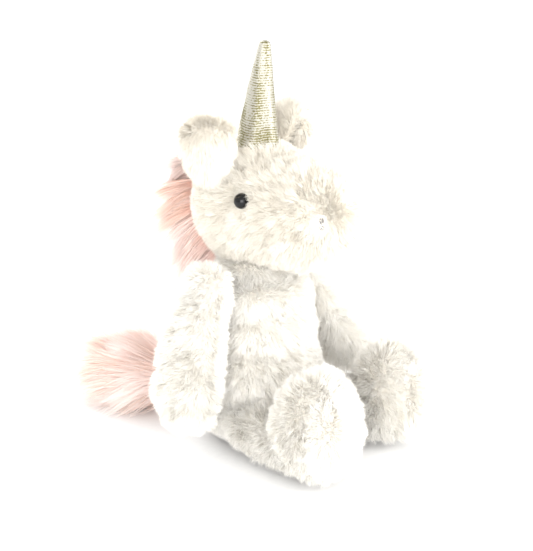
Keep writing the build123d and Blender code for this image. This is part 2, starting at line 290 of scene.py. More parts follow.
# ------------------------------------------------------------------ modelling
def deselect():
    """Leave edit mode and select nothing."""
    if bpy.context.object and bpy.context.object.mode != "OBJECT":
        bpy.ops.object.mode_set(mode="OBJECT")
    bpy.ops.object.select_all(action="DESELECT")


def settle(obj, name):
    """Name a shape and put its place into its mesh."""
    deselect()
    obj.select_set(True)
    bpy.context.view_layer.objects.active = obj
    bpy.ops.object.transform_apply(location=True, rotation=True, scale=True)
    obj.name = obj.data.name = name
    return obj


def ball(at, half, turn=None):
    """A ball of stuffing: its centre, its half sizes and how it is turned."""
    deselect()
    bpy.ops.mesh.primitive_uv_sphere_add(segments=32, ring_count=20, radius=1.0)
    made = bpy.context.object
    spin = (turn or Matrix.Identity(3)).to_4x4()
    size = Matrix.Diagonal((*half, 1.0))
    made.matrix_world = Matrix.Translation(Vector(at) * MM) @ spin @ size @ Matrix.Scale(MM, 4)
    return settle(made, "ball")


def string_of(beads, steps, turn=None):
    """Balls along a line through (place, half sizes) knots, close enough to weld smoothly."""
    made = []
    for (p0, h0), (p1, h1) in zip(beads, beads[1:]):
        for i in range(steps):
            t = i / steps
            made.append(ball(Vector(p0).lerp(Vector(p1), t), Vector(h0).lerp(Vector(h1), t), turn))
    made.append(ball(beads[-1][0], beads[-1][1], turn))
    return made


def apply_modifier(obj, name, kind, **settings):
    """Add a modifier and put its result into the mesh."""
    made = obj.modifiers.new(name, kind)
    for key, value in settings.items():
        setattr(made, key, value)
    deselect()
    obj.select_set(True)
    bpy.context.view_layer.objects.active = obj
    bpy.ops.object.modifier_apply(modifier=made.name)


def weld(name, shapes, voxel=3.0, smooth=12):
    """Join shapes into one closed skin and relax the joins, as stuffing does."""
    deselect()
    for shape in shapes:
        shape.select_set(True)
    bpy.context.view_layer.objects.active = shapes[0]
    bpy.ops.object.join()
    skin = settle(bpy.context.object, name)
    apply_modifier(skin, "weld", "REMESH", mode="VOXEL", voxel_size=voxel * MM)
    apply_modifier(skin, "relax", "SMOOTH", factor=0.6, iterations=smooth)
    bpy.ops.object.shade_smooth()
    return skin


def points_of(obj):
    """Every vertex's place, in millimetres."""
    co = np.empty(len(obj.data.vertices) * 3, dtype=np.float32)
    obj.data.vertices.foreach_get("co", co)
    return co.reshape(-1, 3) / MM


def normals_of(obj):
    """Every vertex's normal."""
    no = np.empty(len(obj.data.vertices) * 3, dtype=np.float32)
    obj.data.vertices.foreach_get("normal", no)
    return no.reshape(-1, 3)


def move_points(obj, co):
    """Put the vertices at these places, in millimetres."""
    obj.data.vertices.foreach_set("co", (co * MM).astype(np.float32).ravel())
    obj.data.update()


def waves(co, size, seed, count=6):
    """Smooth random values in about -1..1 that change over size millimetres."""
    rng = np.random.default_rng(seed)
    total = np.zeros(len(co))
    for _ in range(count):
        way = rng.normal(size=3)
        way *= 2 * math.pi / (size * np.linalg.norm(way) * rng.uniform(0.7, 1.6))
        total += np.sin(co @ way + rng.uniform(0, 2 * math.pi))
    return total / math.sqrt(count)


def crease(skin, origin, normal, depth, width, where=None):
    """Draw a seam in: a soft groove where the skin meets a plane."""
    co, no = points_of(skin), normals_of(skin)
    away = (co - np.array(origin)) @ np.array(normal)
    pull = depth * np.exp(-((away / width) ** 2))
    if where is not None:
        pull = pull * where(co)
    move_points(skin, co - no * pull[:, None])


def dent(skin, at, radius, depth):
    """Push a dimple in (or a swelling out, with a negative depth) round a point."""
    co, no = points_of(skin), normals_of(skin)
    far = np.linalg.norm(co - np.array(at), axis=1)
    move_points(skin, co - no * (depth * np.exp(-((far / radius) ** 2)))[:, None])


def lumps(skin, size, height, seed):
    """Stuffing is never even."""
    co, no = points_of(skin), normals_of(skin)
    move_points(skin, co + no * (height * waves(co, size, seed))[:, None])


def rest_flat(skin):
    """Press the skin flat where it lies on the floor."""
    co = points_of(skin)
    low = co[:, 2] < FLOOR_SKIN
    co[low, 2] = FLOOR_SKIN
    move_points(skin, co)


# ------------------------------------------------------------------ pile
def ribbons(name, lines, up, width, tint, mat):
    """Hairs as tapering ribbons that lie flat on the nap. lines is (hairs, knots, 3) in mm; up,
    width and tint are per hair. They take the light as the surface they make up does."""
    count, knots, _ = lines.shape
    rng = np.random.default_rng(count)
    along = lines[:, -1] - lines[:, 0]
    side = unit(np.cross(unit(along), up + 0.3 * rng.normal(size=(count, 3))))
    pairs = knots - 1
    taper = np.linspace(1.0, 0.45, pairs)
    verts = np.empty((count, 2 * pairs + 1, 3), dtype=np.float32)
    for k in range(pairs):
        half = side * (width * taper[k] / 2)[:, None]
        verts[:, 2 * k] = lines[:, k] - half
        verts[:, 2 * k + 1] = lines[:, k] + half
    verts[:, -1] = lines[:, -1]
    verts[..., 2] = np.maximum(verts[..., 2], FLOOR_HAIR)
    corners, rises, starts, at = [], [], [], 0
    for k in range(pairs - 1):
        corners += [2 * k, 2 * k + 1, 2 * k + 3, 2 * k + 2]
        rises += [k, k, k + 1, k + 1]
        starts.append(at)
        at += 4
    corners += [2 * pairs - 2, 2 * pairs - 1, 2 * pairs]
    rises += [pairs - 1, pairs - 1, pairs]
    starts.append(at)
    at += 3
    base = np.arange(count, dtype=np.int64)[:, None]
    loops = (base * (2 * pairs + 1) + np.array(corners)).ravel()
    begins = (base * at + np.array(starts)).ravel()
    mesh = bpy.data.meshes.new(name)
    mesh.vertices.add(verts.shape[0] * verts.shape[1])
    mesh.vertices.foreach_set("co", (verts * MM).ravel())
    mesh.loops.add(len(loops))
    mesh.loops.foreach_set("vertex_index", loops.astype(np.int32))
    mesh.polygons.add(len(begins))
    mesh.polygons.foreach_set("loop_start", begins.astype(np.int32))
    uv = mesh.uv_layers.new(name="OFBake")
    flat = np.empty((count, at, 2), dtype=np.float32)
    flat[..., 0] = np.clip(tint, 0.01, 0.99)[:, None]
    flat[..., 1] = np.clip(np.array(rises) / pairs, 0.01, 0.99)[None, :]
    uv.data.foreach_set("uv", flat.ravel())
    mesh.update(calc_edges=True)
    mesh.materials.append(mat)
    soft = unit(np.cross(side, unit(along)) + 0.12 * up)
    mesh.normals_split_custom_set_from_vertices(np.repeat(soft, 2 * pairs + 1, axis=0))
    made = bpy.data.objects.new(name, mesh)
    bpy.context.scene.collection.objects.link(made)
    return made


def unit(v):
    """Each row made one long."""
    return v / (np.linalg.norm(v, axis=1)[:, None] + 1e-9)


def roots_on(skin, per_mm2, rng, keep=None):
    """Even random places on a skin, with its normals there."""
    mesh = skin.data
    mesh.calc_loop_triangles()
    tri = np.empty(len(mesh.loop_triangles) * 3, dtype=np.int32)
    mesh.loop_triangles.foreach_get("vertices", tri)
    tri = tri.reshape(-1, 3)
    co, no = points_of(skin), normals_of(skin)
    a, b, c = (co[tri[:, i]] for i in range(3))
    area = np.linalg.norm(np.cross(b - a, c - a), axis=1) / 2
    total = int(area.sum() * per_mm2)
    pick = rng.choice(len(tri), size=total, p=area / area.sum())
    u, v = rng.random(total), rng.random(total)
    flip = u + v > 1
    u[flip], v[flip] = 1 - u[flip], 1 - v[flip]
    w = 1 - u - v
    at = a[pick] * w[:, None] + b[pick] * u[:, None] + c[pick] * v[:, None]
    up = sum(no[tri[pick, i]] * s[:, None] for i, s in enumerate((w, u, v)))
    up /= np.linalg.norm(up, axis=1)[:, None]
    if keep is not None:
        chosen = keep(at, up)
        at, up = at[chosen], up[chosen]
    return at, up


def grow(name, skin, per_mm2, length, comb, seed, keep=None, lean=0.38, tuft=3.4, gather=0.24,
         width=0.5, shade=0.75, trims=(), partings=(), ragged=0.16, knots=3):
    """Grow pile on a skin. comb(places) is the way the nap lies; tufts gather tip to tip every
    tuft mm; shade is the mean tint; trims are (place, radius, share) where the pile is short;
    partings are (origin, normal, width) planes that the nap lies away from."""
    rng = np.random.default_rng(seed)
    at, up = roots_on(skin, per_mm2, rng, keep)
    centres, _ = roots_on(skin, 1 / tuft**2, rng, keep)
    tree = kdtree.KDTree(len(centres))
    for i, p in enumerate(centres):
        tree.insert(p, i)
    tree.balance()
    group = np.fromiter((tree.find(p)[1] for p in at), dtype=np.int64, count=len(at))
    nap = comb(at)
    for origin, normal, reach in partings:
        away = (at - np.array(origin)) @ np.array(normal)
        push = np.sign(away) * np.exp(-np.abs(away) / reach) * 1.6
        nap = nap + push[:, None] * np.array(normal)
    swirl = np.stack([waves(at, 26.0, seed + k) for k in (1, 2, 3)], axis=1)
    nap = nap + 0.1 * swirl
    nap -= up * np.sum(nap * up, axis=1)[:, None]
    nap = unit(nap)
    group_random = rng.normal(size=(len(centres), 3))
    tall = length * (1 - ragged * rng.random(len(at))) * (1 + 0.06 * waves(at, 14.0, seed + 9))
    tall *= 1 + 0.1 * group_random[group, 0]
    for place, radius, share in trims:
        far = np.linalg.norm(at - np.array(place), axis=1)
        tall *= share + (1 - share) * np.clip((far - radius * 0.6) / (radius * 0.8), 0, 1)
    squeeze = np.clip((at[:, 2] + up[:, 2] * 6 - 1.0) / 6, 0.35, 1.0)
    tall *= squeeze
    way = up * (1 - 0.45 * lean) + nap * lean + 0.12 * group_random[group]
    tip_way = unit(way + 0.13 * rng.normal(size=at.shape))
    tip = at + tip_way * tall[:, None]
    middle_of = centres[group] + (tip - at)
    tip = tip + (middle_of - tip) * gather
    start = unit(up + 0.35 * nap + 0.1 * rng.normal(size=at.shape))
    lines = np.empty((len(at), knots, 3))
    for k in range(knots):
        t = k / (knots - 1)
        lines[:, k] = at + (1 - t) * start * (tall * t)[:, None] + t * (tip - at) * t
        lines[:, k] += (1 - t) * (tip - at) * t * 0.35
    tint = shade + 0.08 * waves(at, 40.0, seed + 5) + 0.08 * group_random[group, 1]
    tint = tint + 0.12 * rng.normal(size=len(at))
    return ribbons(name, lines, up, np.full(len(at), width), tint, WHITE)


def steady(x, y, z):
    """A nap that lies one way all over."""
    way = np.array([x, y, z], dtype=float)
    return lambda at: np.tile(way / np.linalg.norm(way), (len(at), 1))


def finish_soft(skin, body, fill, *nodes, fur=()):
    """A stuffed skin and the pile on it, all on one body."""
    skin.data.materials.clear()
    skin.data.materials.append(CREAM_KNIT)
    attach(skin, body)
    if nodes:
        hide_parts(*nodes)
    for piece, node in fur:
        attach(piece, body)
        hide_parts(node)


# ------------------------------------------------------------------ body
SKULL = Vector((0, 0, 171.5))
GUSSET_HALF = 16.0

# The mean tint of the head's and the ears' fur. It is darker than the body's, because they come out
# brighter than the body under these lights.
HEAD_TINT = 0.12
EAR_TINT = 0.1


def make_torso():
    """A pear of stuffing, seamed down the back and round the sides."""
    low = ball((0, 2, 31), (40, 39, 29))
    belly = ball((0, 0, 54), (43.5, 43.5, 36))
    chest = ball((0, -1, 84), (38, 37.5, 30))
    top = ball((0, -2, 107), (36, 34, 16))
    skin = weld("torso_skin", [low, belly, chest, top])
    crease(skin, (0, 0, 0), (1, 0, 0), 1.2, 3.0, lambda co: co[:, 1] > 0)
    crease(skin, (0, 0, 0), (0, 1, 0), 0.8, 3.0)
    lumps(skin, 38.0, 0.9, 3)
    rest_flat(skin)
    comb = steady(0, -0.15, -1)
    panels = {
        "torso_front_panel": lambda at, up: at[:, 1] < 0,
        "torso_back_left_panel": lambda at, up: (at[:, 1] >= 0) & (at[:, 0] >= 0),
        "torso_back_right_panel": lambda at, up: (at[:, 1] >= 0) & (at[:, 0] < 0),
    }
    fur = []
    for i, (node, keep) in enumerate(panels.items()):
        piece = grow(
            f"{node}_pile", skin, DENSITY, FUR_LENGTH, comb, 100 + 10 * i, keep, width=HAIR,
            partings=[((0, 0, 0), (1, 0, 0), 4.0)] if "back" in node else (),
        )
        fur.append((piece, node))
    finish_soft(skin, "torso", 0.8, "torso_stuffing", fur=fur)


def make_neck():
    """A short plug of stuffing between the body and the head."""
    pivot = place_of("neck_turn")
    skin = weld("neck_skin", [ball((0, -1, pivot.z), (25, 24, 15))], smooth=4)
    piece = grow("neck_pile", skin, DENSITY * 0.8, 9.0, steady(0, 0, -1), 150, width=HAIR)
    finish_soft(skin, "neck", 0.9, "neck_stuffing", fur=[(piece, "neck_stuffing")])


def make_head():
    """A skull running into a muzzle, with a chin, cheeks and a crown; dimpled at the eyes."""
    nose = SKULL + Vector((0, -41.6, -5.5))
    parts = string_of([(SKULL, (38.8, 38.8, 38.5)), (nose + Vector((0, -1, 2)), (36.5, 38.0, 33.5))], 3)
    parts.append(ball((0, -53, 152), (19, 17, 14)))
    parts.append(ball((0, -20, 155), (27, 26, 20)))
    parts.append(ball((0, -8, 184), (27, 29, 29)))
    skin = weld("head_skin", parts)
    for s in SIDES.values():
        crease(skin, (GUSSET_HALF * s, 0, 0), (1, 0, 0), 0.7, 3.0)
    lumps(skin, 34.0, 0.7, 5)
    trims = []
    for side, s in SIDES.items():
        low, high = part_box(f"eye_{side}")
        outer = Vector((high.x if s > 0 else low.x, 0, 0)) / MM
        outer.yz = middle_of(f"eye_{side}").yz
        dent(skin, outer, 8.0, 1.4)
        trims.append((outer, 9.0, 0.45))
        mark = middle_of(f"nostril_{side}")
        dent(skin, mark, 6.0, -2.0)
        trims.append((mark, 7.0, 0.3))

    def comb(at):
        """Back from the muzzle and down."""
        way = np.zeros_like(at)
        way[:, 1] = 1.0
        way[:, 2] = -0.55
        way[:, 2] -= np.clip((175 - at[:, 2]) / 60, -0.6, 0.6)
        return way

    panels = {
        "head_left_panel": lambda at, up: at[:, 0] > GUSSET_HALF,
        "head_right_panel": lambda at, up: at[:, 0] < -GUSSET_HALF,
        "head_gusset": lambda at, up: (abs(at[:, 0]) <= GUSSET_HALF) & (at[:, 2] >= SKULL.z),
        "chin_panel": lambda at, up: (abs(at[:, 0]) <= GUSSET_HALF) & (at[:, 2] < SKULL.z),
    }
    fur = []
    for i, (node, keep) in enumerate(panels.items()):
        piece = grow(
            f"{node}_pile", skin, DENSITY, FUR_LENGTH * 0.92, comb, 200 + 10 * i, keep,
            width=HAIR, trims=trims, tuft=4.0, shade=HEAD_TINT,
        )
        fur.append((piece, node))
    finish_soft(skin, "head", 0.9, "head_stuffing", fur=fur)


# ------------------------------------------------------------------ limbs
ARM_OUT = 17.5
ARM_REST = {"right": 0.0, "left": 20.0}
ARM_KNOTS = (
    # down the arm, back, half thickness, half width
    (-4.0, 0.0, 10.0, 14.5),
    (22.0, 2.0, 11.5, 18.0),
    (45.0, 3.0, 13.5, 21.0),
    (66.0, 1.5, 14.0, 22.5),
    (81.0, -2.0, 12.0, 17.0),
)


def arm_frame(side):
    """From a hanging arm's own frame (X out, Y back, Z up, from the shoulder) to its place."""
    s = SIDES[side]
    joint = JOINTS[f"shoulder_{side}"]
    hang = Matrix.Rotation(math.radians(-s * ARM_OUT), 4, "Y")
    swing = Matrix.Rotation(math.radians(ARM_REST[side]), 4, Vector(joint["axis"]))
    return Matrix.Translation(place_of(f"shoulder_{side}")) @ swing @ hang


def make_arm(side):
    """A flattened arm that widens to its paw and hangs from the shoulder."""
    s = SIDES[side]
    place = arm_frame(side)
    beads = [(place @ Vector((0, y, -z)), (thin, wide, wide * 0.8)) for z, y, thin, wide in ARM_KNOTS]
    skin = weld(f"arm_{side}_skin", string_of(beads, 3, place.to_3x3()))
    inside = place.inverted()

    def local(co):
        """Places in the limb's own frame."""
        return co @ np.array(inside.to_3x3()).T + np.array(inside.translation)

    out = place.to_3x3() @ Vector((1, 0, 0))
    centre = place @ Vector((0, 0, 0))
    crease(skin, centre, out, 1.2, 2.5, lambda co: local(co)[:, 2] < -8)
    dent(skin, place @ Vector((s * 12, -8, -40)), 9.0, 1.6)
    lumps(skin, 30.0, 0.9, 11)
    down = place.to_3x3() @ Vector((0, 0, -1))
    fur = []
    for i, (node, way) in enumerate((("outer", s), ("inner", -s))):
        piece = grow(
            f"arm_{side}_{node}_pile", skin, DENSITY, FUR_LENGTH, steady(*down), 300 + 10 * i,
            lambda at, up, way=way: local(at)[:, 0] * way > 0, width=HAIR,
            partings=[(centre, out, 3.0)],
        )
        fur.append((piece, f"arm_{side}_{node}_panel"))
    finish_soft(skin, f"arm_{side}", 0.7, f"arm_{side}_stuffing", fur=fur)


LEG_SPLAY = 14.0


def make_leg(side):
    """A thigh along the floor with a tall oval foot at its end."""
    s = SIDES[side]
    place = Matrix.Translation(place_of(f"hip_{side}")) @ Matrix.Rotation(
        math.radians(180 + s * LEG_SPLAY), 4, "Z"
    )
    turn = place.to_3x3()
    thigh = string_of(
        [(place @ Vector((0, y, z)), (r, r, r)) for y, z, r in ((-2, -1, 18.0), (30, -2, 19.0), (52, 0, 20))],
        3, turn,
    )
    foot = [
        ball(place @ Vector((0, 63, 15.5)), (26.0, 24.0, 34.5), turn),
        ball(place @ Vector((0, 71, 15.0)), (24.0, 18.0, 31.5), turn),
    ]
    skin = weld(f"leg_{side}_skin", thigh + foot)
    across = turn @ Vector((1, 0, 0))
    centre = place @ Vector((0, 0, 0))
    crease(skin, centre, across, 1.8, 3.0)
    dent(skin, place @ Vector((2 * s, 92, 12)), 8.0, 2.2)
    lumps(skin, 32.0, 0.9, 21)
    rest_flat(skin)
    ahead = turn @ Vector((0, 1, 0))
    inside = place.inverted()

    def local(co):
        """Places in the limb's own frame."""
        return co @ np.array(inside.to_3x3()).T + np.array(inside.translation)

    def comb(at):
        """Along the leg, and outwards from the middle of the sole."""
        own = local(at)
        sole = np.clip((own[:, 1] - 70) / 15, 0, 1)[:, None]
        round_out = own - np.array([0, 80, 14])
        round_out[:, 1] = 0
        world = unit(round_out) @ np.array(turn).T
        return (1 - sole) * np.array(ahead) + sole * world + np.array([0, 0, -0.15])

    fur = []
    for i, (node, way) in enumerate((("outer", -1), ("inner", 1))):
        piece = grow(
            f"leg_{side}_{node}_pile", skin, DENSITY, FUR_LENGTH, comb, 400 + 10 * i,
            lambda at, up, way=way: (at - np.array(centre)) @ np.array(across) * way * s > 0,
            width=HAIR, partings=[(centre, across, 3.5)],
        )
        fur.append((piece, f"leg_{side}_{node}_panel"))
    finish_soft(skin, f"leg_{side}", 0.8, f"leg_{side}_stuffing", fur=fur)


# ------------------------------------------------------------------ ears
EAR_STAND = 24.0
EAR_DROP = 32.0
EAR_FOLD_R = 9.0
EAR_LEAN = 25.0
EAR_YAW = 25.0


def ear_axes(side):
    """The ear's own axes: the way it folds over, along its hinge, and up it."""
    lean, yaw = math.radians(EAR_LEAN), math.radians(EAR_YAW)
    out = np.array([SIDES[side] * math.cos(yaw), -math.sin(yaw), 0.0])
    up = np.array([0.0, 0.0, 1.0])
    along = np.cross(out, up)
    outward = out * math.cos(lean) - up * math.sin(lean)
    return outward, along, np.cross(along, outward)


def make_ear(side):
    """A leaf of two layers that stands up, folds over outwards and hangs down."""
    s = SIDES[side]
    up, drop = EAR_STAND, EAR_DROP
    spine = [(0.0, -3.0), (0.0, up * 0.5), (0.0, up)]
    spine += [
        (EAR_FOLD_R * (1 - math.cos(a)), up + EAR_FOLD_R * math.sin(a))
        for a in np.linspace(0.35, math.pi - 0.35, 7)
    ]
    spine += [(2 * EAR_FOLD_R, up), (2 * EAR_FOLD_R, up - drop / 2), (2 * EAR_FOLD_R - 1, up - drop + 2)]
    spine = np.array(spine)
    steps = np.concatenate([[0], np.cumsum(np.linalg.norm(np.diff(spine, axis=0), axis=1))])
    deselect()
    bpy.ops.mesh.primitive_grid_add(x_subdivisions=24, y_subdivisions=40, size=2.0)
    leaf = settle(bpy.context.object, f"ear_{side}_skin")
    co = points_of(leaf) * MM
    v = (co[:, 1] + 1) / 2
    u = co[:, 0]
    at = v * steps[-1]
    x = np.interp(at, steps, spine[:, 0])
    z = np.interp(at, steps, spine[:, 1])
    wide = 15.5 * np.sqrt(np.clip(1 - np.clip((v - 0.45) / 0.56, 0, 1) ** 2.6, 0, 1))
    wide *= 0.72 + 0.28 * np.clip(v / 0.4, 0, 1)
    # the edges curl towards the inside of the fold
    ahead = np.interp(at + 0.5, steps, spine[:, 0]) - np.interp(at - 0.5, steps, spine[:, 0])
    rise = np.interp(at + 0.5, steps, spine[:, 1]) - np.interp(at - 0.5, steps, spine[:, 1])
    long = np.hypot(ahead, rise) + 1e-6
    curl = 3.2 * u**2 * (0.5 + 0.5 * v)
    x = x + curl * rise / long
    z = z - curl * ahead / long
    y = u * wide
    # domed across the fold, and pinched shut along the front edge
    z = z * (1 - 0.15 * u**2 * (z > 0))
    pinch = 0.45 * np.clip(u * s, 0, 1) ** 2
    x = np.where(x > 3, 3 + (x - 3) * (1 - pinch), x)
    hinge = place_of(f"ear_{side}_flop")
    outward, along, rise = ear_axes(side)
    world = np.array(hinge) + np.outer(x, outward) + np.outer(y, along) + np.outer(z, rise)
    move_points(leaf, world)
    apply_modifier(leaf, "layers", "SOLIDIFY", thickness=3.0 * MM, offset=0.0)
    bpy.ops.object.mode_set(mode="EDIT")
    bpy.ops.mesh.select_all(action="SELECT")
    bpy.ops.mesh.normals_make_consistent(inside=False)
    bpy.ops.object.mode_set(mode="OBJECT")
    bpy.ops.object.shade_smooth()
    return leaf, hinge


def finish_ear(side):
    """The ear with its fur: the outer layer's on the outside of the fold, the lining's inside."""
    leaf, hinge = make_ear(side)
    out, _, rise = ear_axes(side)
    middle = np.array(hinge) + out * EAR_FOLD_R + rise * EAR_STAND

    def outward(at, normal):
        """Where the leaf faces away from the middle of its fold."""
        x, z = (at - middle) @ out, (at - middle) @ rise
        ray = np.outer(x, out) + np.outer(np.maximum(z, 0), rise)
        return np.sum(ray * normal, axis=1) > 0

    def nap(at):
        """Up to the fold, over it and down."""
        x, z = (at - middle) @ out, (at - middle) @ rise
        over = np.clip(z / 5 + 0.3, 0, 1)
        fall = np.where(x > 0, -1.0, 1.0) * (1 - 0.6 * over)
        return np.outer(over, out) + np.outer(fall, rise)

    fur = []
    for i, (node, keep, tall) in enumerate((
        ("outer", outward, 8.0),
        ("lining", lambda at, n: ~outward(at, n), 6.0),
    )):
        piece = grow(
            f"ear_{side}_{node}_pile", leaf, DENSITY, tall, nap, 500 + 10 * i, keep, width=HAIR,
            lean=0.6, shade=EAR_TINT,
        )
        fur.append((piece, f"ear_{side}_{node}"))
    finish_soft(leaf, f"ear_{side}", 0.2, fur=fur)


# ------------------------------------------------------------------ horn
HORN_BASE_R = 14.7
HORN_TIP_R = 3.4
HORN_LEAN = 3.0


def around_map(obj, turn, height):
    """A map round a spun shape: across it is the turn about the axis, up it the height."""
    mesh = obj.data
    vert = np.empty(len(mesh.loops), dtype=np.int32)
    mesh.loops.foreach_get("vertex_index", vert)
    first = np.empty(len(mesh.polygons), dtype=np.int32)
    size = np.empty(len(mesh.polygons), dtype=np.int32)
    mesh.polygons.foreach_get("loop_start", first)
    mesh.polygons.foreach_get("loop_total", size)
    u = (turn[vert] / (2 * math.pi)) % 1.0
    start = np.repeat(u[first], size)
    u = np.where(u - start > 0.5, u - 1, np.where(u - start < -0.5, u + 1, u))
    layer = mesh.uv_layers.new(name="OFBake")
    both = np.stack([0.02 + 0.9 * (u + 0.02), 0.08 + 0.9 * height[vert]], axis=1)
    layer.data.foreach_set("uv", both.astype(np.float32).ravel())


def make_horn():
    """A cone of ribbed metallic cloth, spun from its profile, then dented and bent."""
    pivot = place_of("horn_bend")
    rings = int(HORN_L / RIB_PITCH * 4)
    profile = []
    for i in range(rings + 1):
        h = -4.0 + (HORN_L + 4.0 - HORN_TIP_R * 0.6) * i / rings
        share = max(h, 0) / HORN_L
        r = HORN_BASE_R * (1 - share) ** 0.92 + HORN_TIP_R * share
        r += 0.2 * math.cos(2 * math.pi * h / RIB_PITCH)
        profile.append((r, 0, h))
    tip_h, tip_r = profile[-1][2], profile[-1][0]
    for a in np.linspace(0.25, math.pi / 2, 6):
        profile.append((tip_r * math.cos(a) if a < 1.57 else 0.0, 0, tip_h + tip_r * 0.75 * math.sin(a)))
    mesh = bpy.data.meshes.new("horn_cloth")
    mesh.from_pydata([Vector(p) * MM for p in profile], [(i, i + 1) for i in range(len(profile) - 1)], [])
    horn = bpy.data.objects.new("horn_cloth", mesh)
    bpy.context.scene.collection.objects.link(horn)
    deselect()
    horn.select_set(True)
    bpy.context.view_layer.objects.active = horn
    bpy.ops.object.mode_set(mode="EDIT")
    bpy.ops.mesh.select_all(action="SELECT")
    bpy.ops.mesh.spin(steps=72, angle=2 * math.pi, center=(0, 0, 0), axis=(0, 0, 1))
    bpy.ops.mesh.select_all(action="SELECT")
    bpy.ops.mesh.remove_doubles(threshold=0.02 * MM)
    bpy.ops.mesh.select_all(action="DESELECT")
    bpy.ops.mesh.select_non_manifold(extend=False)
    bpy.ops.mesh.fill()
    bpy.ops.mesh.select_all(action="SELECT")
    bpy.ops.mesh.normals_make_consistent(inside=False)
    bpy.ops.object.mode_set(mode="OBJECT")
    bpy.ops.object.shade_smooth()
    co = points_of(horn)
    share = np.clip(co[:, 2] / HORN_L, 0, 1)
    turn = np.arctan2(co[:, 1], co[:, 0])
    co_height = co[:, 2] / (HORN_RIBS * RIB_PITCH)
    # a soft fold down the front and slack cloth round the base
    fold = -0.09 * np.exp(-((np.angle(np.exp(1j * (turn + 2.1 + 0.5 * share))) / 0.35) ** 2))
    slack = 0.03 * waves(co, 20.0, 31) + 0.02 * np.sin(3 * turn + 5 * share)
    co[:, :2] *= (1 + (fold * (1 - 0.4 * share) + slack))[:, None]
    co[:, 2] += 0.7 * np.sin(3 * turn + 1.0) * (1 - share)
    co[:, 1] -= 2.2 * share**2
    lean = Matrix.Rotation(math.radians(HORN_LEAN), 3, "X")
    co = co @ np.array(lean).T + np.array(pivot)
    around_map(horn, turn, co_height)
    move_points(horn, co)
    horn.data.materials.append(LAME)
    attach(horn, "horn")
    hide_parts("horn_cover", "horn_stuffing")


# ------------------------------------------------------------------ eyes and nostrils
NOSTRIL_STITCHES = 12
NOSTRIL_HALF_WIDE = 2.3
NOSTRIL_HALF_TALL = 3.9
NOSTRIL_TURN = 32.0
THREAD_R = 0.42


def make_eyes():
    """The bead eyes and their lock washers keep their CAD shapes."""
    for side in SIDES:
        for node, mat in ((f"eye_{side}", BEAD), (f"eye_washer_{side}", NYLON)):
            obj = frame["nodes"][node]
            for place in obj.material_slots:
                place.material = mat


def make_nostrils():
    """Satin stitches laid side by side up a small oval."""
    for side, s in SIDES.items():
        low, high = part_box(f"nostril_{side}")
        centre = (Vector(low) + Vector(high)) / 2
        turned = math.radians(NOSTRIL_TURN)
        out = Vector((s * math.sin(turned), -math.cos(turned), 0.12)).normalized()
        across = Vector((0, 0, 1)).cross(out).normalized()
        rise = out.cross(across)
        stitches = []
        for i in range(NOSTRIL_STITCHES):
            t = (i + 0.5) / NOSTRIL_STITCHES * 2 - 1
            deselect()
            bpy.ops.mesh.primitive_cylinder_add(vertices=8, radius=THREAD_R * MM, depth=1.0)
            made = bpy.context.object
            half = NOSTRIL_HALF_WIDE * math.sqrt(1 - 0.8 * t * t) * MM
            turn = Matrix((across, rise, out)).transposed().to_4x4()
            made.matrix_world = (
                Matrix.Translation(centre + rise * t * NOSTRIL_HALF_TALL * MM - out * 0.2 * MM)
                @ turn @ Matrix.Rotation(math.pi / 2, 4, "Y") @ Matrix.Diagonal((1, 1, 2 * half, 1))
            )
            made = settle(made, "stitch")
            bpy.ops.object.mode_set(mode="EDIT")
            bpy.ops.mesh.select_all(action="SELECT")
            bpy.ops.mesh.subdivide(number_cuts=2)
            bpy.ops.object.mode_set(mode="OBJECT")
            co = points_of(made)
            off = (co - np.array(centre / MM)) @ np.array(across)
            co -= np.array(out) * (off**2 * 0.16)[:, None]
            move_points(made, co)
            stitches.append(made)
        deselect()
        for made in stitches:
            made.select_set(True)
        bpy.context.view_layer.objects.active = stitches[0]
        bpy.ops.object.join()
        patch = settle(bpy.context.object, f"nostril_{side}_stitching")
        bpy.ops.object.shade_smooth()
        patch.data.materials.clear()
        patch.data.materials.append(THREAD)
        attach(patch, "head")
        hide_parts(f"nostril_{side}")


# ------------------------------------------------------------------ mane and tail
MANE_HAIRS = 18000
MANE_HAIR_L = 52.0
MANE_ROOT_R = 40.5
MANE_HALF_WIDE = 8.5
TAIL_HAIRS = 21000
TAIL_HAIR_L = 69.0
TAIL_TURN = 8.0
TAIL_STUB_L = 44.0
TAIL_ROOTS_L = 50.0


